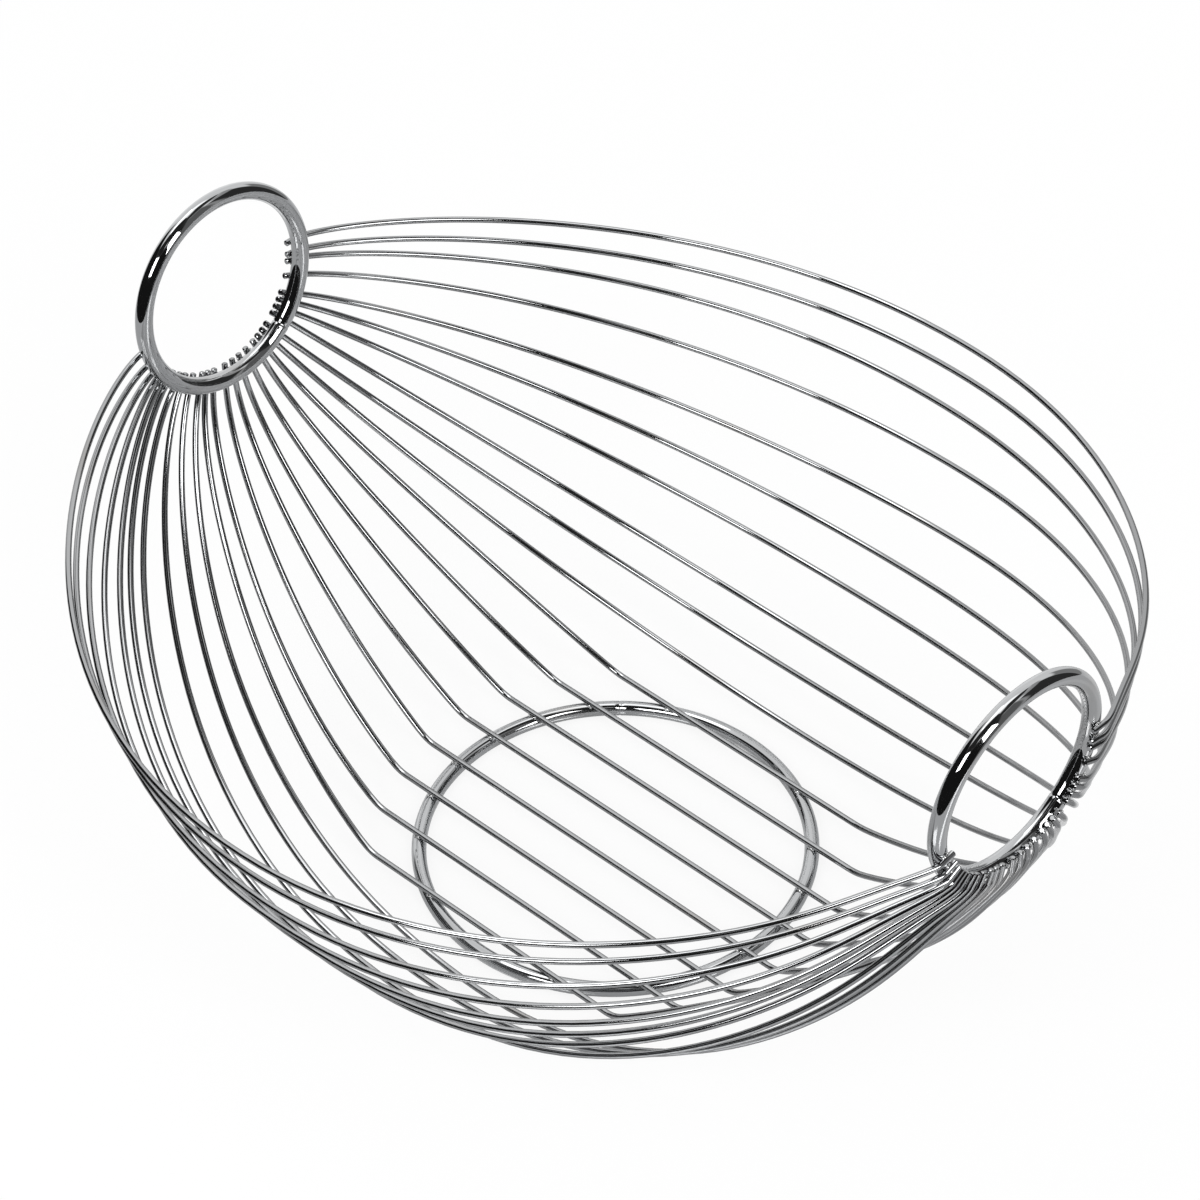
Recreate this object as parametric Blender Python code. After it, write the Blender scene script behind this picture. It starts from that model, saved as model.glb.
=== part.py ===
"""Onion basket: an open boat of thin chromed wires between two round handle rings.

Metres, +Z up. The basket's length runs along X and it stands on its base ring, whose
underside is at Z = 0 with the origin at its middle. The far side is at +Y.
"""
import math

import bmesh
import bpy
from mathutils import Matrix, Vector

# Wire diameters, and the clearance that two welded pieces keep
HANDLE_WIRE = 0.006
BASE_WIRE = 0.005
THIN_WIRE = 0.0021
WELD_GAP = 0.0003

# Rings, measured to the middle of their wire
BASE_RING_RADIUS = 0.0656
HANDLE_RING_RADIUS = 0.03455
HANDLE_SPACING = 0.3469
HANDLE_HEIGHT = 0.1469
HANDLE_LEAN = math.radians(4.1)

# The base ring is bent a little oval: its stretch one way and squeeze the other, as a share
# of its radius, the turn of its long way from X, and how far its middle is off the basket's
BASE_RING_STRETCH = 0.015
BASE_RING_TURN = math.radians(-16.4)
BASE_RING_OFFSET = Vector((-0.0009, 0.0005, 0))

# The basket's cross-section at its middle, measured to the middle of the wires
RIM_HALF_WIDTH = 0.1619
RIM_HEIGHT = 0.1232
FLOOR_HALF_WIDTH = 0.0783
SECTION_CURVE_POWER = 1.425

# The flat floor, a round patch of straight wires that lie on the base ring
FLOOR_PATCH_RADIUS = 0.0808
FLOOR_WIRE_PITCH = 0.01664

# How the wires close in towards the handle rings, as powers of a superellipse for the
# rim wires, for the lowest side wires and for the floor wires
RIM_LENGTH_POWER = 2.06
RIM_DEPTH_POWER = 1.41
LOW_LENGTH_POWER = 2.23
LOW_DEPTH_POWER = 1.37
FLOOR_LENGTH_POWER = 1.09
FLOOR_DEPTH_POWER = 1.56

# A wire's end lies across the outer face of the handle ring, pointing at its centre
TIP_INSET = 0.0032
HEEL_DROP = 0.0020

# How far the wires draw in under the right ring, and how far below its weld they do so most
RIGHT_TUCK = 0.0025
TUCK_DROP = 0.0235

# How far a hand-set wire may bow outwards on its way to the right ring, and as much
# inwards on its way to the left one
WIRE_SWAY = 0.01

# Each side wire from the rim down: where it meets the handle rings, in degrees from the
# ring's lowest point with the far side positive, how far down the cross-section it runs,
# in degrees from the rim (0) to the edge of the floor (90), and its share of the sway
FAR_SIDE_WIRES = [
    (87.5, 0, 0.1), (79.5, 11, 0.05), (75, 19, -0.1), (65.5, 28, 0.3), (55, 38.5, 0.6),
    (50.5, 46.5, 0.2), (46, 54, 0), (41.5, 65, -0.15), (34, 73, -0.3), (29.5, 90, 0.25),
]
NEAR_SIDE_WIRES = [
    (-77.5, 0, 0), (-68, 8.5, 0.1), (-61, 19.5, 0.1), (-56, 31, -0.1), (-51.5, 39, -0.05),
    (-47, 43, 0.1), (-40.5, 48, 0.2), (-35.5, 62, 0.15), (-29, 75.5, 0.05), (-21.5, 90, 0.25),
]

# Each floor wire from the far side to the near side: its angle on the handle rings and
# its share of the sway
FLOOR_WIRES = [
    (25, 0.45), (20.5, 0.05), (14, 0.05), (8, -0.15),
    (2.5, -0.1), (-3.5, -0.4), (-12, -0.6), (-17, -0.55),
]

# Mesh counts
HANDLE_RING_STEPS = 40
HANDLE_WIRE_SIDES = 10
BASE_RING_STEPS = 60
BASE_WIRE_SIDES = 12
SIDE_STEPS = 14
FLOOR_STEPS = 12
STEP_CROWDING = 1.5
FLOOR_STEP_CROWDING = 2.5

CHROME_COLOUR = (0.78, 0.79, 0.81, 1.0)
CHROME_ROUGHNESS = 0.08

BASE_RING_HEIGHT = BASE_WIRE / 2
HANDLE_REACH = HANDLE_SPACING / 2
FLOOR_HEIGHT = BASE_WIRE + WELD_GAP + THIN_WIRE / 2
END_OFFSET = HANDLE_WIRE / 2 + WELD_GAP + THIN_WIRE / 2


def chrome(name):
    """A chrome material of its own for one piece."""
    material = bpy.data.materials.new(name + "_chrome")
    material.use_nodes = True
    shader = material.node_tree.nodes["Principled BSDF"]
    shader.inputs["Base Color"].default_value = CHROME_COLOUR
    shader.inputs["Metallic"].default_value = 1.0
    shader.inputs["Roughness"].default_value = CHROME_ROUGHNESS
    return material


def add_piece(name, data, basket):
    """Link a new object under the basket's empty."""
    piece = bpy.data.objects.new(name, data)
    bpy.context.scene.collection.objects.link(piece)
    piece.parent = basket
    data.materials.append(chrome(name))
    return piece


def ring_mesh(name, ring_radius, wire, steps, sides):
    """A closed wire ring about Z, with a flat facet on its underside."""
    facet = math.tau / sides
    profile_radius = wire / 2 / math.cos(facet / 2)
    shape = bmesh.new()
    corners = []
    for side in range(sides):
        angle = facet * (side + 0.5) - math.pi / 2
        out = ring_radius + profile_radius * math.cos(angle)
        corners.append(shape.verts.new((out, 0, profile_radius * math.sin(angle))))
    edges = [shape.edges.new((corners[i - 1], corners[i])) for i in range(sides)]
    bmesh.ops.spin(shape, geom=corners + edges, cent=(0, 0, 0), axis=(0, 0, 1),
                   angle=math.tau, steps=steps, use_merge=True, use_duplicate=False)
    bmesh.ops.recalc_face_normals(shape, faces=shape.faces)
    mesh = bpy.data.meshes.new(name)
    shape.to_mesh(mesh)
    shape.free()
    mesh.shade_smooth()
    return mesh


def handle_ring(name, end, basket):
    """The round handle at one end, its top leaning outwards."""
    mesh = ring_mesh(name, HANDLE_RING_RADIUS, HANDLE_WIRE, HANDLE_RING_STEPS,
                     HANDLE_WIRE_SIDES)
    ring = add_piece(name, mesh, basket)
    ring.location = (end * HANDLE_REACH, 0, HANDLE_HEIGHT)
    ring.rotation_euler = (0, end * (math.pi / 2 + HANDLE_LEAN), 0)
    return ring


def base_ring(basket):
    """The foot that the basket stands on, a ring bent a little oval."""
    mesh = ring_mesh("base_ring", BASE_RING_RADIUS, BASE_WIRE, BASE_RING_STEPS,
                     BASE_WIRE_SIDES)
    oval = Matrix.Diagonal((1 + BASE_RING_STRETCH, 1 - BASE_RING_STRETCH, 1, 1))
    mesh.transform(Matrix.Rotation(BASE_RING_TURN, 4, "Z") @ oval)
    ring = add_piece("base_ring", mesh, basket)
    ring.location = BASE_RING_OFFSET + Vector((0, 0, BASE_RING_HEIGHT))
    return ring


def outward(end):
    """The direction in which the handle ring at one end faces."""
    return Vector((end * math.cos(HANDLE_LEAN), 0, -math.sin(HANDLE_LEAN)))


def beside_ring(end, angle, radius):
    """A point of a wire's end, beside the handle ring's outer face."""
    centre = Vector((end * HANDLE_REACH, 0, HANDLE_HEIGHT))
    up = Vector((end * math.sin(HANDLE_LEAN), 0, math.cos(HANDLE_LEAN)))
    spoke = math.sin(angle) * Vector((0, 1, 0)) - math.cos(angle) * up
    return centre + radius * spoke + END_OFFSET * outward(end)


def wire_end(end, degrees, lane, sway, course):
    """Points of one half of a wire, from near the middle to its tip on a handle ring.

    Each entry of the course holds how far the wire has run towards the ring along X, the
    share of the drop from the ring to the wire's lane that is left there, and the share
    of the sway that it takes.
    """
    angle = math.radians(degrees)
    tip = beside_ring(end, angle, HANDLE_RING_RADIUS - TIP_INSET)
    heel = beside_ring(end, angle, HANDLE_RING_RADIUS + HEEL_DROP)
    across = Vector((0, *lane)) - Vector((0, heel.y, heel.z))
    bow = end * sway * across.normalized()
    tuck = RIGHT_TUCK if end > 0 else 0
    points = []
    for along, left, bend in course:
        drop = left * across.length / TUCK_DROP
        inward = tuck * drop ** 2 * math.exp(2 * (1 - drop))
        reach = Vector((heel.x * along - end * inward, heel.y, heel.z))
        points.append(reach + left * across + bend * bow)
    return points + [tip]


def side_course(descent_share):
    """The course of a side wire's half, its points crowded towards the handle ring."""
    length_power = RIM_LENGTH_POWER + (LOW_LENGTH_POWER - RIM_LENGTH_POWER) * descent_share
    depth_power = RIM_DEPTH_POWER + (LOW_DEPTH_POWER - RIM_DEPTH_POWER) * descent_share
    course = []
    for step in range(1, SIDE_STEPS + 1):
        turn = (1 - (1 - step / SIDE_STEPS) ** STEP_CROWDING) * math.pi / 2
        along = math.sin(turn)
        left = max(0, 1 - along ** length_power) ** (1 / depth_power)
        course.append((along, left, math.sin(math.pi * along)))
    return course


def floor_course(start_share):
    """The course of a floor wire's half, from the floor patch's edge to the ring."""
    course = []
    for step in range(FLOOR_STEPS + 1):
        run = 1 - (1 - step / FLOOR_STEPS) ** FLOOR_STEP_CROWDING
        along = start_share + (1 - start_share) * run
        left = max(0, 1 - run ** FLOOR_LENGTH_POWER) ** (1 / FLOOR_DEPTH_POWER)
        course.append((along, left, math.sin(math.pi * run)))
    return course


def add_wire(name, points, basket):
    """A round wire through the points, with flat ends."""
    curve = bpy.data.curves.new(name, "CURVE")
    curve.dimensions = "3D"
    curve.bevel_depth = THIN_WIRE / 2
    curve.bevel_resolution = 1
    curve.use_fill_caps = True
    spline = curve.splines.new("POLY")
    spline.points.add(len(points) - 1)
    for target, point in zip(spline.points, points):
        target.co = (*point, 1)
    return add_piece(name, curve, basket)


def side_wire(name, degrees, descent_degrees, sway_share, side, basket):
    """A side wire from ring to ring, side +1 for the far side and -1 for the near."""
    descent = math.radians(descent_degrees)
    reach = max(0, math.cos(descent)) ** (2 / SECTION_CURVE_POWER)
    fall = math.sin(descent) ** (2 / SECTION_CURVE_POWER)
    lane_y = side * (FLOOR_HALF_WIDTH + (RIM_HALF_WIDTH - FLOOR_HALF_WIDTH) * reach)
    lane_z = RIM_HEIGHT - (RIM_HEIGHT - FLOOR_HEIGHT) * fall
    lane = (lane_y, lane_z)
    sway = sway_share * WIRE_SWAY
    course = side_course(descent / (math.pi / 2))
    left = wire_end(-1, degrees, lane, sway, course)
    right = wire_end(1, degrees, lane, sway, course)
    return add_wire(name, left[::-1] + [Vector((0, *lane))] + right, basket)


def floor_wire(name, index, degrees, sway_share, basket):
    """A floor wire, straight over the base ring and rising to the handle rings."""
    middle = (len(FLOOR_WIRES) - 1) / 2
    lane = ((middle - index) * FLOOR_WIRE_PITCH, FLOOR_HEIGHT)
    half_chord = math.sqrt(FLOOR_PATCH_RADIUS ** 2 - lane[0] ** 2)
    heel = beside_ring(1, math.radians(degrees), HANDLE_RING_RADIUS + HEEL_DROP)
    sway = sway_share * WIRE_SWAY
    course = floor_course(half_chord / heel.x)
    left = wire_end(-1, degrees, lane, sway, course)
    right = wire_end(1, degrees, lane, sway, course)
    return add_wire(name, left[::-1] + right, basket)


def build():
    """Model the whole basket."""
    for old in list(bpy.data.objects):
        bpy.data.objects.remove(old)
    basket = bpy.data.objects.new("basket", None)
    bpy.context.scene.collection.objects.link(basket)
    handle_ring("handle_ring_left", -1, basket)
    handle_ring("handle_ring_right", 1, basket)
    base_ring(basket)
    for number, values in enumerate(FAR_SIDE_WIRES, 1):
        side_wire(f"far_side_wire_{number:02d}", *values, 1, basket)
    for index, values in enumerate(FLOOR_WIRES):
        floor_wire(f"floor_wire_{index + 1:02d}", index, *values, basket)
    for number, values in enumerate(NEAR_SIDE_WIRES, 1):
        side_wire(f"near_side_wire_{number:02d}", *values, -1, basket)


build()
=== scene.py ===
"""Onion basket: round chromed wires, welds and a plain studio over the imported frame.

Metres, +Z up, in the frame's own space. The basket's length runs along X, the far side is
at +Y, and the base ring's underside is at Z = 0.
"""

import math
import random

import bpy
from bpy.props import FloatProperty, FloatVectorProperty, IntProperty, PointerProperty
from bpy.types import Operator, Panel, PropertyGroup
from mathutils import Matrix, Vector


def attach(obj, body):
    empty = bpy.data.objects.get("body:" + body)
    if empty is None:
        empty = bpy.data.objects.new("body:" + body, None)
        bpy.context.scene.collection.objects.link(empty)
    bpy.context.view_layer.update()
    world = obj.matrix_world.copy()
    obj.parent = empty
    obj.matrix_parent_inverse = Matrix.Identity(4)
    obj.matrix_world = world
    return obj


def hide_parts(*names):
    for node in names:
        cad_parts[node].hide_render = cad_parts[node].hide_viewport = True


bl_info = {
    "name": "Onion Basket",
    "version": (1, 0, 0),
    "blender": (4, 5, 0),
    "location": "3D View > Sidebar > Basket",
    "description": "Chromed wires, welds and a plain studio for a wire basket",
    "category": "Add Mesh",
}

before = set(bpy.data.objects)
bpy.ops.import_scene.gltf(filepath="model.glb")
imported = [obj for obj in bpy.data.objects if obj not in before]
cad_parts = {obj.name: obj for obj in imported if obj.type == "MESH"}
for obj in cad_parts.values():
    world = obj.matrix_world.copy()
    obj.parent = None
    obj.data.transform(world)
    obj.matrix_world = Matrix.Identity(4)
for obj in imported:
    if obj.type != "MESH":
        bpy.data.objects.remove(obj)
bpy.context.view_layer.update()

# Wire diameters
HANDLE_WIRE = 0.006
BASE_WIRE = 0.005
THIN_WIRE = 0.0021

# Rings, measured to the middle of their wire
BASE_RING_RADIUS = 0.0656
HANDLE_RING_RADIUS = 0.03455
HANDLE_SPACING = 0.3469
HANDLE_REACH = HANDLE_SPACING / 2
HANDLE_HEIGHT = 0.1469
HANDLE_LEAN = math.radians(4.1)

# The base ring is bent a little oval: its stretch one way and squeeze the other, as a share
# of its radius, the turn of its long way from X, and where its middle lies
BASE_RING_STRETCH = 0.015
BASE_RING_TURN = math.radians(-16.4)
BASE_RING_MIDDLE = Vector((-0.0009, 0.0005, BASE_WIRE / 2))

# The basket's cross-section at its middle, measured to the middle of the wires
RIM_HALF_WIDTH = 0.1619
RIM_HEIGHT = 0.1232
FLOOR_HALF_WIDTH = 0.0783
SECTION_CURVE_POWER = 1.425

# The flat floor, a round patch of straight wires that lie on the base ring
FLOOR_PATCH_RADIUS = 0.0808
FLOOR_WIRE_PITCH = 0.01664

# How the wires close in towards the handle rings, as powers of a superellipse for the
# rim wires, for the lowest side wires and for the floor wires
RIM_LENGTH_POWER = 2.06
RIM_DEPTH_POWER = 1.41
LOW_LENGTH_POWER = 2.23
LOW_DEPTH_POWER = 1.37
FLOOR_LENGTH_POWER = 1.09
FLOOR_DEPTH_POWER = 1.56

# A wire's end lies across the outer face of the handle ring, pointing at its centre
TIP_INSET = 0.0032
HEEL_DROP = 0.0020

# How far the wires draw in under the right ring, and how far below its weld they do so most
RIGHT_TUCK = 0.0025
TUCK_DROP = 0.0235

# How far a hand-set wire may bow outwards on its way to the right ring, and as much
# inwards on its way to the left one
WIRE_SWAY = 0.01

# Each side wire from the rim down: where it meets the handle rings, in degrees from the
# ring's lowest point with the far side positive, how far down the cross-section it runs,
# in degrees from the rim (0) to the edge of the floor (90), and its share of the sway
FAR_SIDE_WIRES = [
    (87.5, 0, 0.1), (79.5, 11, 0.05), (75, 19, -0.1), (65.5, 28, 0.3), (55, 38.5, 0.6),
    (50.5, 46.5, 0.2), (46, 54, 0), (41.5, 65, -0.15), (34, 73, -0.3), (29.5, 90, 0.25),
]
NEAR_SIDE_WIRES = [
    (-77.5, 0, 0), (-68, 8.5, 0.1), (-61, 19.5, 0.1), (-56, 31, -0.1), (-51.5, 39, -0.05),
    (-47, 43, 0.1), (-40.5, 48, 0.2), (-35.5, 62, 0.15), (-29, 75.5, 0.05), (-21.5, 90, 0.25),
]

# Each floor wire from the far side to the near side: its angle on the handle rings and
# its share of the sway
FLOOR_WIRES = [
    (25, 0.45), (20.5, 0.05), (14, 0.05), (8, -0.15),
    (2.5, -0.1), (-3.5, -0.4), (-12, -0.6), (-17, -0.55),
]

# Points along half a wire, crowded towards the handle ring
SIDE_STEPS = 56
FLOOR_STEPS = 48
STEP_CROWDING = 1.5
FLOOR_STEP_CROWDING = 2.5

# The cut end of a thin wire, its burr rounded off
BURR_LENGTH = 0.0003
BURR_SHARE = 0.62

# The butt weld that closes a ring: a shallow groove, and the step of each ring where it lies
SEAM_WIDTH = 0.0007
SEAM_DEPTH = 0.00022
LEFT_SEAM_STEP = 63
RIGHT_SEAM_STEP = 18
BASE_SEAM_STEP = 66

# How near to a spoke a corner has to lie to be on it
SPOKE_REACH = 1e-5

# The sharpest edge that is still shaded smooth on a thin wire
SMOOTH_ANGLE = math.radians(35)

# The lumps of weld: how many kinds are modelled, and how uneven they are
LUMP_KINDS = 5
LUMP_ROUGHNESS = 0.16

# The drops thrown beside a weld: their sizes as shares of the set one, how far aside and
# along as shares of the weld's half width and half length, and what starts each ring's chances
DROP_SIZES = (0.6, 1.2)
DROP_ASIDE = (0.7, 1.0)
DROP_ALONG = (-1.1, 1.1)
LEFT_WELD_SEED = 100
RIGHT_WELD_SEED = 300
BASE_WELD_SEED = 500

# How deep the welds sink the thin wires into the handle rings and into the base ring
HANDLE_WELD_SINK = 0.00055
BASE_WELD_SINK = 0.00025

# The bend where a floor wire leaves the floor, as the length that it takes up either side
BEND_REACH = 0.0035
BEND_STEPS = 7

# The height of the floor wires' middles, and how far a thin wire's middle stands off a
# handle ring's middle
FLOOR_HEIGHT = BASE_WIRE + THIN_WIRE / 2 - BASE_WELD_SINK
END_OFFSET = HANDLE_WIRE / 2 + THIN_WIRE / 2 - HANDLE_WELD_SINK

# The camera, as fitted to the photograph, its first two angles in degrees
CAMERA_AZIMUTH = 46.553
CAMERA_ELEVATION = 42.104
CAMERA_ROLL = math.radians(-3.218)
CAMERA_DISTANCE = 1.7790
CAMERA_TARGET = Vector((-0.0098, 0.0083, 0.1013))
CAMERA_LENS = 166.41
CAMERA_SENSOR = 36.0

# The plain soft lamps: where each hangs as seen from the handles, in degrees, its distance,
# width and height, how far it is turned about the line to the basket, and its share of the
# lamps' brightness
LAMPS = [
    ("front_lamp", 9, 37.5, 5.0, 2.3, 1.6, 0, 1.0),
    ("side_lamp", 82, 32, 5.0, 3.8, 1.2, -62, 1.0),
    ("top_lamp", -80, 67, 5.0, 2.6, 0.8, 0, 0.35),
]

# A full turn and half a turn in degrees
FULL_TURN = 360
HALF_TURN = FULL_TURN / 2

# What the chrome mirrors beyond the floor: each area's middle and half width in azimuth,
# its middle and half height in elevation, all in degrees, and its brightness
ROOM = {
    "pale ceiling behind the basket": (-125, 48, 54, 8, 1.0),
    "white ceiling high behind the basket": (-118, 62, 76, 12, 2.0),
    "pale wall on the left": (-118, 20, 0, 20, 1.15),
    "dim corner behind the basket": (-176, 14, -2, 22, 0.3),
    "dark front of the room": (7, 93, -2, 49, 0.012),
    "dark ceiling over the camera": (30, 68, 68, 24, 0.025),
    "bright spot over the camera": (44, 5, 53, 2, 1.2),
    "dim ceiling on the right": (132, 46, 65, 14, 0.04),
    "grey wall": (108, 13, 14, 36, 0.16),
    "dark opening": (146, 24, 8, 32, 0.04),
    "pale wall over the opening": (158, 24, 44, 6, 0.45),
}

# How soft the areas' edges are, in degrees, and the room's brightness between the areas, as
# two elevations and the brightness at each
ROOM_EDGE = 3.5
ROOM_BETWEEN = (-20, 60, 0.95, 1.1)

# The floor: its radius, its sides, how rough its sheen is, and how far it glows as the
# chrome shows it
FLOOR_RADIUS = 0.62
FLOOR_SIDES = 96
SHEEN_ROUGHNESS = 0.12
MIRRORED_GLOW = 0.2

# The chrome of each kind of piece: the length over which its tint changes, the depth of its
# ripple and, on the thin wires, how dark the painted shade on their rim is and how much
# rougher the plating is
HANDLE_CHROME = {"wander": 0.05, "ripple": 0.000015}
BASE_CHROME = {"wander": 0.06, "ripple": 0.00001}
# On the thin wires the rim is a painted shade, darkest where they are seen edge-on
WIRE_CHROME = {"wander": 0.03, "ripple": 0.000004, "painted_rim_shade": 0.55, "dulling": 0.04}
WELD_CHROME = {"wander": 0.006, "ripple": 0.00008}

# How many times finer than the tint the gloss and the ripple change, and between which
# levels of their noise the tint and the gloss change
GLOSS_FINENESS = 2.7
RIPPLE_FINENESS = 4
TINT_LEVELS = (0.55, 0.75)
GLOSS_LEVELS = (0.4, 0.8)

# How far a surface is turned away where the painted shade on its rim starts and where it is
# darkest
PAINTED_RIM_SHADE_LEVELS = (0.12, 0.6)


class BasketSizes(PropertyGroup):
    """Sizes of the basket's detail."""
    ring_steps: IntProperty(
        name="Ring Steps", description="Faces round a ring", default=160, min=24)
    ring_sides: IntProperty(
        name="Ring Wire Sides", description="Faces round a ring's wire", default=32, min=8)
    wire_detail: IntProperty(
        name="Wire Detail", description="How round a thin wire is", default=5, min=1)
    bead_length: FloatProperty(
        name="Weld Length", description="Half the length of a weld along its wire",
        default=0.0017, subtype="DISTANCE", unit="LENGTH")
    bead_width: FloatProperty(
        name="Weld Width", description="Half the width of a weld across its wire",
        default=0.0014, subtype="DISTANCE", unit="LENGTH")
    bead_height: FloatProperty(
        name="Weld Height", description="Half the height of a weld",
        default=0.0008, subtype="DISTANCE", unit="LENGTH")
    drop_size: FloatProperty(
        name="Drop Size", description="Half the size of a drop thrown beside a weld",
        default=0.00045, subtype="DISTANCE", unit="LENGTH")


class BasketFinish(PropertyGroup):
    """Colours and gloss of the basket's chrome."""
    chrome_colour: FloatVectorProperty(
        name="Chrome", description="Colour of the plating",
        default=(0.50, 0.508, 0.516), subtype="COLOR", min=0, max=1)
    shade_colour: FloatVectorProperty(
        name="Chrome Shade", description="Colour of the plating where it is thinnest",
        default=(0.46, 0.455, 0.45), subtype="COLOR", min=0, max=1)
    weld_colour: FloatVectorProperty(
        name="Weld", description="Colour of the plating on the welds",
        default=(0.82, 0.825, 0.82), subtype="COLOR", min=0, max=1)
    # Painted shade: the dark colour laid on the thin wires where they are seen edge-on
    painted_rim_shade_colour: FloatVectorProperty(
        name="Rim", description="Colour of the plating on thin wires where seen edge-on",
        default=(0.06, 0.06, 0.062), subtype="COLOR", min=0, max=1)
    smoothest: FloatProperty(
        name="Smoothest", description="Roughness of the best polished parts",
        default=0.02, min=0, max=1, subtype="FACTOR")
    roughest: FloatProperty(
        name="Roughest", description="Roughness of the least polished parts",
        default=0.07, min=0, max=1, subtype="FACTOR")


class StudioLight(PropertyGroup):
    """The floor, the lamps and the room round the basket."""
    floor_colour: FloatVectorProperty(
        name="Floor", description="Colour of the floor", default=(0.95, 0.95, 0.95),
        subtype="COLOR", min=0, max=1)
    floor_mirrored: FloatVectorProperty(
        name="Floor Mirrored", description="Colour of the floor as the chrome shows it",
        default=(0.58, 0.585, 0.595), subtype="COLOR", min=0, max=1)
    floor_polish: FloatProperty(
        name="Floor Polish",
        description="Share of the room that the floor throws on the chrome",
        default=0.25, min=0, max=1, subtype="FACTOR")
    floor_glow: FloatProperty(
        name="Floor Glow", description="How far the floor's shadows are lifted",
        default=0.85, min=0, max=1, subtype="FACTOR")
    daylight: FloatProperty(
        name="Soft Light", description="Strength of the light from all round",
        default=0.72, min=0)
    lamp_radiance: FloatProperty(
        name="Lamp Brightness", description="Brightness of the lamps' faces",
        default=5.8, min=0)


def clear_selection():
    """Leave edit mode and select nothing."""
    if bpy.context.mode != "OBJECT":
        bpy.ops.object.mode_set(mode="OBJECT")
    bpy.ops.object.select_all(action="DESELECT")


def name_piece(name, slot, material, *nodes):
    """Finish the active object as a piece that stands for CAD nodes."""
    piece = bpy.context.object
    piece.name = name
    piece.data.name = name
    piece.data.materials.clear()
    piece.data.materials.append(material)
    if nodes:
        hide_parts(*nodes)
    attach(piece, "root")


class Signal:
    """A socket of a shader that can be reckoned with like a number."""

    def __init__(self, graph, socket):
        self.graph = graph
        self.socket = socket

    def math(self, operation, *others):
        """Work out something from this and, where it takes more, from others."""
        return self.graph.add("ShaderNodeMath", {"operation": operation}, (self, *others))

    def __add__(self, other):
        return self.math("ADD", other)

    __radd__ = __add__

    def __sub__(self, other):
        return self.math("SUBTRACT", other)

    def __rsub__(self, other):
        return self.graph.add("ShaderNodeMath", {"operation": "SUBTRACT"}, (other, self))

    def __mul__(self, other):
        return self.math("MULTIPLY", other)

    __rmul__ = __mul__

    def __truediv__(self, other):
        return self.math("DIVIDE", other)

    def __rtruediv__(self, other):
        return self.graph.add("ShaderNodeMath", {"operation": "DIVIDE"}, (other, self))

    def __neg__(self):
        return self * -1

    def highest(self, other):
        """The larger of this and the other."""
        return self.math("MAXIMUM", other)

    def ramp(self, start, end, low=0.0, high=1.0):
        """A smooth step from low to high as this goes from start to end."""
        settings = {"interpolation_type": "SMOOTHSTEP"}
        return self.graph.add("ShaderNodeMapRange", settings, (self, start, end, low, high))


class Graph:
    """The nodes of one material, or of the world."""

    def __init__(self, owner):
        owner.use_nodes = True
        self.tree = owner.node_tree
        self.tree.nodes.clear()

    def add(self, kind, settings=None, values=(), output=0):
        """Add a node and give back one of its outputs.

        The values are a row for the first sockets, or a dictionary by a socket's name or
        place. With no output wanted, it gives back the node itself.
        """
        node = self.tree.nodes.new(kind)
        for key, setting in (settings or {}).items():
            setattr(node, key, setting)
        pairs = values.items() if isinstance(values, dict) else enumerate(values)
        for key, value in pairs:
            if isinstance(value, Signal):
                self.tree.links.new(value.socket, node.inputs[key])
            else:
                node.inputs[key].default_value = value
        if output is None:
            return node
        return Signal(self, node.outputs[output])

    def blend_colours(self, share, first, second):
        """The mix of two colours by a share that changes.

        Sockets 6 and 7 and output 2 are the node's colours, which share their names with
        its numbers and vectors.
        """
        return self.add("ShaderNodeMix", {"data_type": "RGBA"},
                        {0: share, 6: first, 7: second}, output=2)

    def kinds_of_ray(self):
        """Whether a ray shows this to the camera, and whether it shows it to the chrome."""
        paths = self.add("ShaderNodeLightPath", output=None)
        seen, through, mirrored = (Signal(self, paths.outputs[name]) for name in (
            "Is Camera Ray", "Is Transmission Ray", "Is Glossy Ray"))
        return seen.highest(through), mirrored


def opaque(colour):
    """A colour with the fourth number that sockets want."""
    return (*colour, 1.0)


def chrome_material(name, finish, colour, wander, ripple, painted_rim_shade=0.0, dulling=0.0):
    """Bright plating whose tint, gloss and evenness change a little along the wire.

    The wander is the length over which the plating's tint changes, and the ripple is the
    depth of the unevenness that drawing and bending left in the steel. The rim is how far
    a painted shade darkens the plating where it is seen edge-on, on the thin wires, and
    the dulling is how much rougher the plating is than on the thick wires.
    """
    material = bpy.data.materials.new(name)
    graph = Graph(material)
    place = graph.add("ShaderNodeTexCoord", output=3)
    tint = graph.add("ShaderNodeTexNoise", values={
        "Vector": place, "Scale": 1 / wander, "Detail": 3.0, "Roughness": 0.6})
    gloss = graph.add("ShaderNodeTexNoise", values={
        "Vector": place, "Scale": GLOSS_FINENESS / wander, "Detail": 2.0, "Roughness": 0.5})
    waves = graph.add("ShaderNodeTexNoise", values={
        "Vector": place, "Scale": RIPPLE_FINENESS / wander, "Detail": 1.0, "Roughness": 0.4})
    bump = graph.add("ShaderNodeBump", values={
        "Strength": 1.0, "Distance": ripple, "Height": waves})
    plated = graph.blend_colours(
        tint.ramp(*TINT_LEVELS), opaque(colour), opaque(finish.shade_colour))
    # Painted shade: the plating is blended towards the dark rim colour where the surface turns
    # away from the view
    edge = graph.add("ShaderNodeLayerWeight", values={"Blend": 0.5}, output=1)
    surface = graph.add("ShaderNodeBsdfPrincipled", values={
        "Base Color": graph.blend_colours(
            edge.ramp(*PAINTED_RIM_SHADE_LEVELS, 0, painted_rim_shade), plated, opaque(finish.painted_rim_shade_colour)),
        "Metallic": 1.0,
        "Roughness": gloss.ramp(
            *GLOSS_LEVELS, finish.smoothest + dulling, finish.roughest + dulling),
        "Normal": bump})
    graph.add("ShaderNodeOutputMaterial", values={"Surface": surface}, output=None)
    return material


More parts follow.
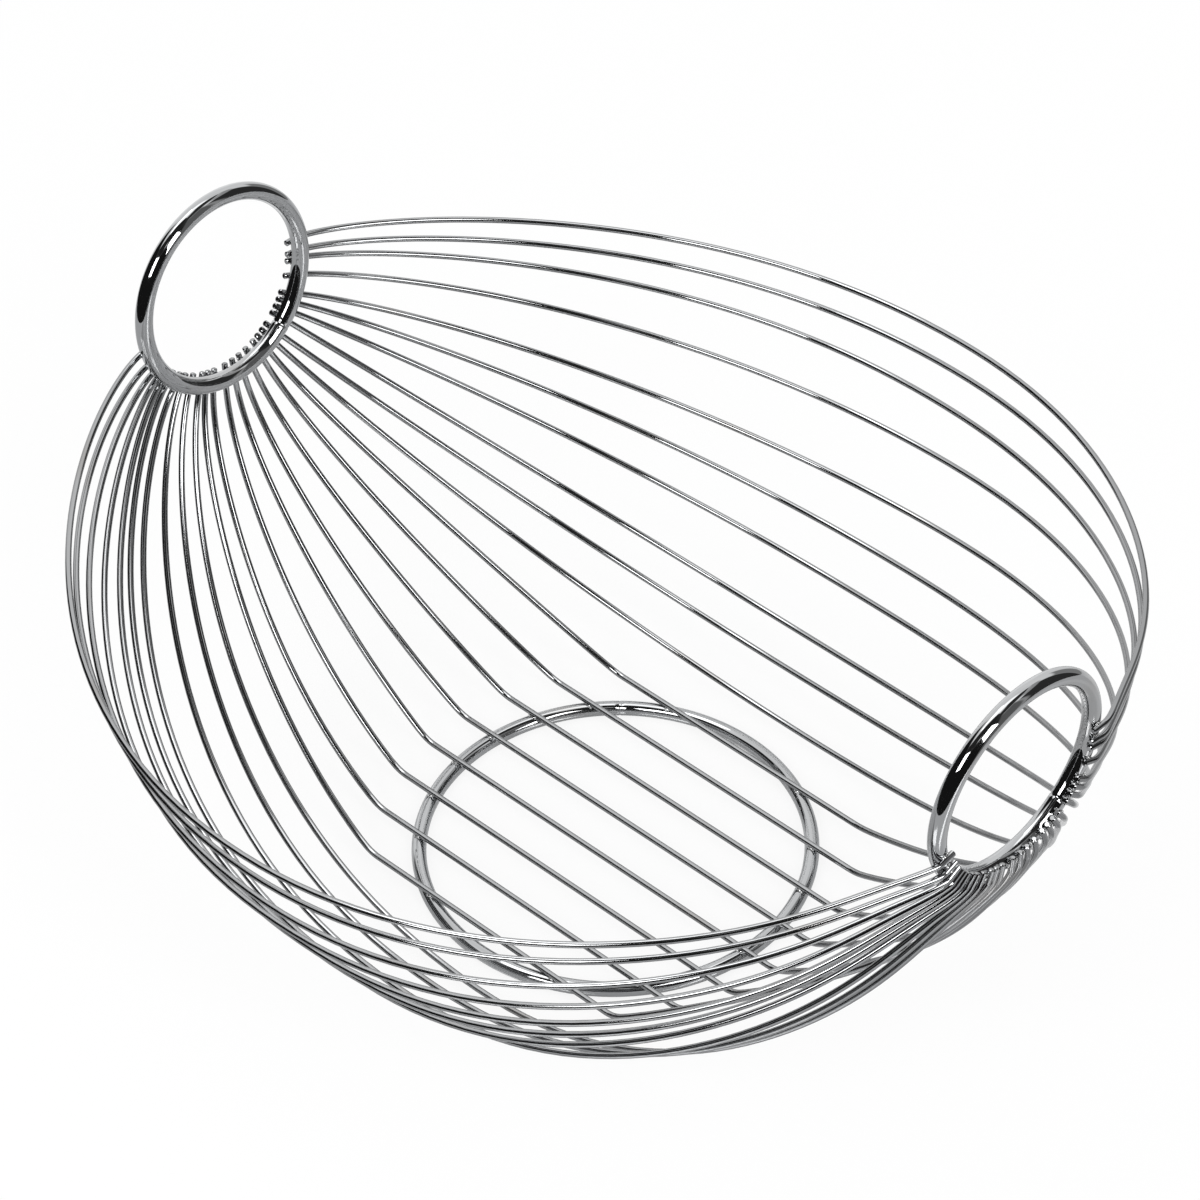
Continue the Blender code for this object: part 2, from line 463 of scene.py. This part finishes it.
def cut_seam(angle):
    """Press a shallow groove round the active ring's wire, at an angle about its middle."""
    ring = bpy.context.object
    bpy.ops.object.mode_set(mode="EDIT")
    bpy.ops.mesh.select_mode(type="EDGE")
    bpy.ops.mesh.select_all(action="DESELECT")
    bpy.ops.object.mode_set(mode="OBJECT")
    select_spoke(ring, angle)
    bpy.ops.object.mode_set(mode="EDIT")
    bpy.ops.mesh.bevel(offset=SEAM_WIDTH / 2, offset_type="OFFSET", segments=2)
    bpy.ops.mesh.select_mode(type="VERT")
    bpy.ops.mesh.select_all(action="DESELECT")
    bpy.ops.object.mode_set(mode="OBJECT")
    select_spoke(ring, angle)
    bpy.ops.object.mode_set(mode="EDIT")
    bpy.ops.transform.shrink_fatten(value=-SEAM_DEPTH)
    bpy.ops.object.mode_set(mode="OBJECT")


def select_spoke(ring, angle):
    """Select the circle of the ring's wire that lies at an angle about its middle."""
    spoke = Vector((math.cos(angle), math.sin(angle), 0))
    for vertex in ring.data.vertices:
        beside = abs(spoke.cross(vertex.co).z)
        vertex.select = beside < SPOKE_REACH and vertex.co.dot(spoke) > 0
    for edge in ring.data.edges:
        edge.select = all(ring.data.vertices[corner].select for corner in edge.vertices)


def add_ring(sizes, radius, wire, seam_step, location, rotation, stretch=0):
    """A closed ring of round wire with its butt weld, stretched one way where it is oval."""
    clear_selection()
    bpy.ops.mesh.primitive_torus_add(
        major_radius=radius, minor_radius=wire / 2, major_segments=sizes.ring_steps,
        minor_segments=sizes.ring_sides, location=location, rotation=rotation)
    cut_seam(math.tau * seam_step / sizes.ring_steps)
    bpy.context.object.scale = (1 + stretch, 1 - stretch, 1)
    bpy.ops.object.transform_apply(location=True, rotation=True, scale=True)
    bpy.ops.object.shade_smooth()


def outward(end):
    """The direction in which the handle ring at one end faces."""
    return Vector((end * math.cos(HANDLE_LEAN), 0, -math.sin(HANDLE_LEAN)))


def spoke_at(end, angle):
    """The direction from a handle ring's middle to its wire, at an angle from the bottom."""
    up = Vector((end * math.sin(HANDLE_LEAN), 0, math.cos(HANDLE_LEAN)))
    return math.sin(angle) * Vector((0, 1, 0)) - math.cos(angle) * up


def beside_ring(end, angle, radius, offset=END_OFFSET):
    """A point beside the handle ring's outer face."""
    centre = Vector((end * HANDLE_REACH, 0, HANDLE_HEIGHT))
    return centre + radius * spoke_at(end, angle) + offset * outward(end)


def wire_end(end, degrees, lane, sway, course):
    """Points of one half of a wire, from near the middle to its tip on a handle ring.

    Each entry of the course holds how far the wire has run towards the ring along X, the
    share of the drop from the ring to the wire's lane that is left there, and the share
    of the sway that it takes. The draw-in under the right ring grows to its most at
    TUCK_DROP and fades below it.
    """
    angle = math.radians(degrees)
    tip = beside_ring(end, angle, HANDLE_RING_RADIUS - TIP_INSET)
    burr = beside_ring(end, angle, HANDLE_RING_RADIUS - TIP_INSET + BURR_LENGTH)
    heel = beside_ring(end, angle, HANDLE_RING_RADIUS + HEEL_DROP)
    across = Vector((0, *lane)) - Vector((0, heel.y, heel.z))
    bow = end * sway * across.normalized()
    tuck = RIGHT_TUCK if end > 0 else 0
    points = []
    for along, left, bend in course:
        drop = left * across.length / TUCK_DROP
        inward = tuck * drop ** 2 * math.exp(2 * (1 - drop))
        reach = Vector((heel.x * along - end * inward, heel.y, heel.z))
        points.append(reach + left * across + bend * bow)
    return points + [burr, tip]


def side_course(descent_share):
    """The course of a side wire's half, its points crowded towards the handle ring."""
    length_power = RIM_LENGTH_POWER + (LOW_LENGTH_POWER - RIM_LENGTH_POWER) * descent_share
    depth_power = RIM_DEPTH_POWER + (LOW_DEPTH_POWER - RIM_DEPTH_POWER) * descent_share
    course = []
    for step in range(1, SIDE_STEPS + 1):
        turn = (1 - (1 - step / SIDE_STEPS) ** STEP_CROWDING) * math.pi / 2
        along = math.sin(turn)
        left = max(0, 1 - along ** length_power) ** (1 / depth_power)
        course.append((along, left, math.sin(math.pi * along)))
    return course


def floor_course(start_share):
    """The course of a floor wire's half, from the floor patch's edge to the ring."""
    course = []
    for step in range(FLOOR_STEPS + 1):
        run = 1 - (1 - step / FLOOR_STEPS) ** FLOOR_STEP_CROWDING
        along = start_share + (1 - start_share) * run
        left = max(0, 1 - run ** FLOOR_LENGTH_POWER) ** (1 / FLOOR_DEPTH_POWER)
        course.append((along, left, math.sin(math.pi * run)))
    return course


def draw_wire(points, detail):
    """A round wire through the points as a mesh, its cut ends eased."""
    clear_selection()
    curve = bpy.data.curves.new("wire", "CURVE")
    curve.dimensions = "3D"
    curve.bevel_depth = THIN_WIRE / 2
    curve.bevel_resolution = detail
    curve.use_fill_caps = True
    spline = curve.splines.new("POLY")
    spline.points.add(len(points) - 1)
    for target, point in zip(spline.points, points):
        target.co = (*point, 1)
    for tip in (spline.points[0], spline.points[-1]):
        tip.radius = BURR_SHARE
    wire = bpy.data.objects.new("wire", curve)
    bpy.context.scene.collection.objects.link(wire)
    bpy.context.view_layer.objects.active = wire
    wire.select_set(True)
    bpy.ops.object.convert(target="MESH")
    bpy.ops.object.shade_smooth_by_angle(angle=SMOOTH_ANGLE)


def side_wire_points(degrees, descent_degrees, sway_share, side):
    """The way of a side wire, side +1 for the far side and -1 for the near."""
    descent = math.radians(descent_degrees)
    reach = max(0, math.cos(descent)) ** (2 / SECTION_CURVE_POWER)
    fall = math.sin(descent) ** (2 / SECTION_CURVE_POWER)
    lane_y = side * (FLOOR_HALF_WIDTH + (RIM_HALF_WIDTH - FLOOR_HALF_WIDTH) * reach)
    lane_z = RIM_HEIGHT - (RIM_HEIGHT - FLOOR_HEIGHT) * fall
    lane = (lane_y, lane_z)
    sway = sway_share * WIRE_SWAY
    course = side_course(descent / (math.pi / 2))
    left = wire_end(-1, degrees, lane, sway, course)
    right = wire_end(1, degrees, lane, sway, course)
    return left[::-1] + [Vector((0, *lane))] + right


def base_ring_crossing(y, end):
    """Where the base ring's middle line crosses a floor wire's lane on its way to one end."""
    long_way = BASE_RING_RADIUS * (1 + BASE_RING_STRETCH)
    short_way = BASE_RING_RADIUS * (1 - BASE_RING_STRETCH)
    rise = long_way * math.sin(BASE_RING_TURN)
    width = short_way * math.cos(BASE_RING_TURN)
    swing = math.asin((y - BASE_RING_MIDDLE.y) / math.hypot(rise, width))
    turn = (swing if end > 0 else math.pi - swing) - math.atan2(rise, width)
    return (BASE_RING_MIDDLE.x + long_way * math.cos(turn) * math.cos(BASE_RING_TURN)
            - short_way * math.sin(turn) * math.sin(BASE_RING_TURN))


def floor_lane(index):
    """Where a floor wire crosses the basket's middle, as Y and Z."""
    middle = (len(FLOOR_WIRES) - 1) / 2
    return ((middle - index) * FLOOR_WIRE_PITCH, FLOOR_HEIGHT)


def round_corner(middle, points):
    """Replace a floor wire's sharp corner, its first point, by a short bend."""
    corner = points[0]
    before = corner + BEND_REACH * (middle - corner).normalized()
    rest = points[1:]
    while (rest[0] - corner).length < BEND_REACH:
        rest = rest[1:]
    after = corner + BEND_REACH * (rest[0] - corner).normalized()
    bend = []
    for step in range(BEND_STEPS + 1):
        share = step / BEND_STEPS
        bend.append(before.lerp(corner, share).lerp(corner.lerp(after, share), share))
    return bend + rest


def floor_wire_points(index, degrees, sway_share):
    """The way of a floor wire, straight over the base ring and up to the handles."""
    lane = floor_lane(index)
    half_chord = math.sqrt(FLOOR_PATCH_RADIUS ** 2 - lane[0] ** 2)
    heel = beside_ring(1, math.radians(degrees), HANDLE_RING_RADIUS + HEEL_DROP)
    sway = sway_share * WIRE_SWAY
    course = floor_course(half_chord / heel.x)
    left = round_corner(Vector((0, *lane)), wire_end(-1, degrees, lane, sway, course))
    right = round_corner(Vector((0, *lane)), wire_end(1, degrees, lane, sway, course))
    return left[::-1] + right


def model_lumps(seed):
    """A few uneven lumps of metal, each about one unit across, to be copied."""
    lumps = []
    for number in range(LUMP_KINDS):
        bpy.ops.mesh.primitive_ico_sphere_add(subdivisions=3, radius=1, location=(0, 0, 0))
        bpy.ops.object.mode_set(mode="EDIT")
        bpy.ops.transform.vertex_random(offset=LUMP_ROUGHNESS, seed=seed + number)
        bpy.ops.mesh.vertices_smooth(factor=0.5, repeat=2)
        bpy.ops.object.mode_set(mode="OBJECT")
        lumps.append(bpy.context.object)
    return lumps


def put_lump(lump, point, axes):
    """A copy of a lump with its own mesh, at a point and with three half axes."""
    copy = lump.copy()
    copy.data = lump.data.copy()
    bpy.context.scene.collection.objects.link(copy)
    copy.matrix_world = Matrix.Translation(point) @ Matrix(axes).transposed().to_4x4()
    return copy


def add_beads(sizes, places, seed):
    """A bead of weld at each place, with a drop thrown to either side of its wire.

    Each place holds the point, the direction of the wire and the way out of the ring.
    """
    clear_selection()
    chance = random.Random(seed)
    lumps = model_lumps(seed)
    beads = []
    for number, (point, along, out) in enumerate(places):
        side = out.cross(along).normalized()
        bead = (along * sizes.bead_length, side * sizes.bead_width, out * sizes.bead_height)
        beads.append(put_lump(lumps[number % LUMP_KINDS], point, bead))
        for hand in (-1, 1):
            size = sizes.drop_size * chance.uniform(*DROP_SIZES)
            aside = hand * side * sizes.bead_width * chance.uniform(*DROP_ASIDE)
            shift = along * sizes.bead_length * chance.uniform(*DROP_ALONG)
            drop = (along * size, side * size, out * size)
            beads.append(put_lump(lumps[(number + hand) % LUMP_KINDS],
                                  point + aside + shift, drop))
    clear_selection()
    for lump in lumps:
        lump.select_set(True)
    bpy.ops.object.delete()
    for bead in beads:
        bead.select_set(True)
    bpy.context.view_layer.objects.active = beads[0]
    bpy.ops.object.join()
    bpy.ops.object.transform_apply(location=True, rotation=True, scale=True)
    bpy.ops.object.mode_set(mode="EDIT")
    bpy.ops.mesh.select_all(action="SELECT")
    bpy.ops.mesh.normals_make_consistent(inside=False)
    bpy.ops.object.mode_set(mode="OBJECT")
    bpy.ops.object.shade_smooth()


class BASKET_OT_handle_rings(Operator):
    """Add the two round handles"""
    bl_idname = "basket.handle_rings"
    bl_label = "Handle Rings"

    def execute(self, context):
        sizes = context.scene.basket_sizes
        finish = context.scene.basket_finish
        material = chrome_material(
            "handle_chrome", finish, finish.chrome_colour, **HANDLE_CHROME)
        for side, end, seam_step in (("left", -1, LEFT_SEAM_STEP),
                                     ("right", 1, RIGHT_SEAM_STEP)):
            centre = (end * HANDLE_REACH, 0, HANDLE_HEIGHT)
            turn = (0, end * (math.pi / 2 + HANDLE_LEAN), 0)
            add_ring(sizes, HANDLE_RING_RADIUS, HANDLE_WIRE, seam_step, centre, turn)
            name_piece(f"{side}_handle", "handle_chrome", material, f"handle_ring_{side}")
        return {"FINISHED"}


class BASKET_OT_base_ring(Operator):
    """Add the round foot"""
    bl_idname = "basket.base_ring"
    bl_label = "Base Ring"

    def execute(self, context):
        sizes = context.scene.basket_sizes
        finish = context.scene.basket_finish
        material = chrome_material(
            "base_chrome", finish, finish.chrome_colour, **BASE_CHROME)
        add_ring(sizes, BASE_RING_RADIUS, BASE_WIRE, BASE_SEAM_STEP, BASE_RING_MIDDLE,
                 (0, 0, BASE_RING_TURN), BASE_RING_STRETCH)
        name_piece("foot", "base_chrome", material, "base_ring")
        return {"FINISHED"}


def wire_chrome(finish):
    """The chrome of the thin wires, made once."""
    known = bpy.data.materials.get("wire_chrome_plating")
    if known:
        return known
    return chrome_material(
        "wire_chrome_plating", finish, finish.chrome_colour, **WIRE_CHROME)


def add_side_wires(context, rows, side, word):
    """The thin wires of one side, side +1 for the far side and -1 for the near."""
    material = wire_chrome(context.scene.basket_finish)
    for number, values in enumerate(rows, 1):
        draw_wire(side_wire_points(*values, side), context.scene.basket_sizes.wire_detail)
        name_piece(f"{word}_rod_{number:02d}", "wire_chrome", material,
                   f"{word}_side_wire_{number:02d}")


class BASKET_OT_far_side_wires(Operator):
    """Add the thin wires of the far side"""
    bl_idname = "basket.far_side_wires"
    bl_label = "Far Side Wires"

    def execute(self, context):
        add_side_wires(context, FAR_SIDE_WIRES, 1, "far")
        return {"FINISHED"}


class BASKET_OT_floor_wires(Operator):
    """Add the thin wires of the floor"""
    bl_idname = "basket.floor_wires"
    bl_label = "Floor Wires"

    def execute(self, context):
        material = wire_chrome(context.scene.basket_finish)
        for index, values in enumerate(FLOOR_WIRES):
            draw_wire(floor_wire_points(index, *values),
                      context.scene.basket_sizes.wire_detail)
            name_piece(f"floor_rod_{index + 1:02d}", "wire_chrome", material,
                       f"floor_wire_{index + 1:02d}")
        return {"FINISHED"}


class BASKET_OT_near_side_wires(Operator):
    """Add the thin wires of the near side"""
    bl_idname = "basket.near_side_wires"
    bl_label = "Near Side Wires"

    def execute(self, context):
        add_side_wires(context, NEAR_SIDE_WIRES, -1, "near")
        return {"FINISHED"}


class BASKET_OT_welds(Operator):
    """Add the welds between the thin wires and the rings"""
    bl_idname = "basket.welds"
    bl_label = "Welds"

    def execute(self, context):
        sizes = context.scene.basket_sizes
        finish = context.scene.basket_finish
        material = chrome_material("weld_chrome", finish, finish.weld_colour, **WELD_CHROME)
        angles = [values[0] for values in FAR_SIDE_WIRES + FLOOR_WIRES + NEAR_SIDE_WIRES]
        contact = HANDLE_WIRE / 2
        for side, end, seed in (("left", -1, LEFT_WELD_SEED), ("right", 1, RIGHT_WELD_SEED)):
            places = []
            for degrees in angles:
                angle = math.radians(degrees)
                point = beside_ring(end, angle, HANDLE_RING_RADIUS, contact)
                places.append((point, spoke_at(end, angle), outward(end)))
            add_beads(sizes, places, seed)
            name_piece(f"{side}_handle_welds", "handle_chrome", material)
        places = []
        for index in range(len(FLOOR_WIRES)):
            y = floor_lane(index)[0]
            for end in (-1, 1):
                point = Vector((base_ring_crossing(y, end), y, BASE_WIRE))
                places.append((point, Vector((1, 0, 0)), Vector((0, 0, 1))))
        add_beads(sizes, places, BASE_WELD_SEED)
        name_piece("foot_welds", "base_chrome", material)
        return {"FINISHED"}


def direction_to(azimuth_degrees, elevation_degrees):
    """The direction from the basket to a place in the room.

    Azimuth 0 is in front of the near side, at -Y, and 90 is at +X.
    """
    azimuth = math.radians(azimuth_degrees)
    elevation = math.radians(elevation_degrees)
    return Vector((math.sin(azimuth) * math.cos(elevation),
                   -math.cos(azimuth) * math.cos(elevation), math.sin(elevation)))


def add_camera():
    """The camera, where the photograph was taken from."""
    back = direction_to(CAMERA_AZIMUTH, CAMERA_ELEVATION)
    level = direction_to(CAMERA_AZIMUTH + 90, 0)
    upright = back.cross(level)
    right = math.cos(CAMERA_ROLL) * level + math.sin(CAMERA_ROLL) * upright
    up = math.cos(CAMERA_ROLL) * upright - math.sin(CAMERA_ROLL) * level
    clear_selection()
    bpy.ops.object.camera_add(
        location=CAMERA_TARGET + CAMERA_DISTANCE * back,
        rotation=Matrix((right, up, back)).transposed().to_euler())
    camera = bpy.context.object
    camera.name = "photograph_camera"
    camera.data.sensor_fit = "HORIZONTAL"
    camera.data.sensor_width = CAMERA_SENSOR
    camera.data.lens = CAMERA_LENS
    bpy.context.scene.camera = camera


def add_lamp(name, azimuth, elevation, distance, width, height, turn, radiance):
    """A flat soft lamp that faces the basket."""
    back = direction_to(azimuth, elevation)
    clear_selection()
    middle = Vector((0, 0, HANDLE_HEIGHT))
    bpy.ops.object.light_add(type="AREA", location=middle + distance * back)
    lamp = bpy.context.object
    lamp.name = name
    lamp.data.shape = "RECTANGLE"
    lamp.data.size = width
    lamp.data.size_y = height
    lamp.data.energy = radiance * width * height * math.pi
    facing = back.to_track_quat("Z", "Y").to_matrix()
    lamp.rotation_euler = (facing @ Matrix.Rotation(math.radians(turn), 3, "Z")).to_euler()


def room_world(light):
    """White to the camera, even soft light, and a plain studio to the chrome."""
    graph = Graph(bpy.context.scene.world)
    way = graph.add("ShaderNodeTexCoord", output=0)
    split = graph.add("ShaderNodeSeparateXYZ", values=(way,), output=None)
    x, y, z = (Signal(graph, socket) for socket in split.outputs)
    azimuth = x.math("ARCTAN2", -y) * math.degrees(1)
    elevation = z.math("ARCSINE") * math.degrees(1)
    bright = elevation.ramp(*ROOM_BETWEEN)
    for across, half_width, up, half_height, glow in ROOM.values():
        # At most half a turn aside, whichever way round is the shorter
        turned = azimuth - across + (FULL_TURN + HALF_TURN)
        aside = (turned.math("MODULO", FULL_TURN) - HALF_TURN).math("ABSOLUTE")
        above = (elevation - up).math("ABSOLUTE")
        share = (aside.ramp(half_width + ROOM_EDGE, half_width - ROOM_EDGE)
                 * above.ramp(half_height + ROOM_EDGE, half_height - ROOM_EDGE))
        bright = bright * (1 - share) + glow * share
    shown, mirrored = graph.kinds_of_ray()
    strength = bright * mirrored + light.daylight * (1 - mirrored)
    strength = strength * (1 - shown) + shown
    sky = graph.add("ShaderNodeBackground", values={
        "Color": (1, 1, 1, 1), "Strength": strength})
    graph.add("ShaderNodeOutputWorld", values={"Surface": sky}, output=None)


def floor_material(light):
    """Plain white board: white where nothing shades it, and it keeps the shadows."""
    material = bpy.data.materials.new("white_board")
    graph = Graph(material)
    board = graph.add("ShaderNodeBsdfDiffuse", values={"Color": opaque(light.floor_colour)})
    dull = graph.add("ShaderNodeBsdfDiffuse", values={"Color": opaque(light.floor_mirrored)})
    polish = graph.add("ShaderNodeBsdfGlossy", values={
        "Color": (1, 1, 1, 1), "Roughness": SHEEN_ROUGHNESS})
    glow = graph.add("ShaderNodeEmission", values={
        "Color": (1, 1, 1, 1), "Strength": 1.0})
    shown, mirrored = graph.kinds_of_ray()
    sheen = graph.add("ShaderNodeMixShader", values=(light.floor_polish, dull, polish))
    lit = graph.add("ShaderNodeMixShader", values=(mirrored, board, sheen))
    share = (shown * light.floor_glow).highest(mirrored * MIRRORED_GLOW)
    surface = graph.add("ShaderNodeMixShader", values=(share, lit, glow))
    graph.add("ShaderNodeOutputMaterial", values={"Surface": surface}, output=None)
    return material


class BASKET_OT_studio(Operator):
    """Add the floor, the soft lamps, the room's light and the camera"""
    bl_idname = "basket.studio"
    bl_label = "Studio"

    def execute(self, context):
        light = context.scene.studio_light
        clear_selection()
        bpy.ops.mesh.primitive_circle_add(
            vertices=FLOOR_SIDES, radius=FLOOR_RADIUS, fill_type="NGON", location=(0, 0, 0))
        board = context.object
        board.name = "studio_floor"
        board.data.materials.append(floor_material(light))
        if context.scene.world is None:
            context.scene.world = bpy.data.worlds.new("studio_room")
        room_world(light)
        for *lamp, share in LAMPS:
            add_lamp(*lamp, share * light.lamp_radiance)
        add_camera()
        context.scene.view_settings.view_transform = "Standard"
        return {"FINISHED"}


PIECES = [
    BASKET_OT_handle_rings, BASKET_OT_base_ring, BASKET_OT_far_side_wires,
    BASKET_OT_floor_wires, BASKET_OT_near_side_wires, BASKET_OT_welds, BASKET_OT_studio,
]


class BASKET_PT_panel(Panel):
    """The basket's sizes, colours and pieces"""
    bl_idname = "BASKET_PT_panel"
    bl_label = "Onion Basket"
    bl_space_type = "VIEW_3D"
    bl_region_type = "UI"
    bl_category = "Basket"

    def draw(self, context):
        layout = self.layout
        for group in (context.scene.basket_sizes, context.scene.basket_finish,
                      context.scene.studio_light):
            box = layout.box()
            for name in group.__annotations__:
                box.prop(group, name)
        for piece in PIECES:
            layout.operator(piece.bl_idname)


CLASSES = [BasketSizes, BasketFinish, StudioLight, *PIECES, BASKET_PT_panel]


def register():
    for each in CLASSES:
        bpy.utils.register_class(each)
    bpy.types.Scene.basket_sizes = PointerProperty(type=BasketSizes)
    bpy.types.Scene.basket_finish = PointerProperty(type=BasketFinish)
    bpy.types.Scene.studio_light = PointerProperty(type=StudioLight)


def unregister():
    del bpy.types.Scene.studio_light
    del bpy.types.Scene.basket_finish
    del bpy.types.Scene.basket_sizes
    for each in reversed(CLASSES):
        bpy.utils.unregister_class(each)


def main():
    """Add every piece in order."""
    register()
    bpy.ops.basket.handle_rings()
    bpy.ops.basket.base_ring()
    bpy.ops.basket.far_side_wires()
    bpy.ops.basket.floor_wires()
    bpy.ops.basket.near_side_wires()
    bpy.ops.basket.welds()
    bpy.ops.basket.studio()
    clear_selection()


if __name__ == "__main__":
    main()
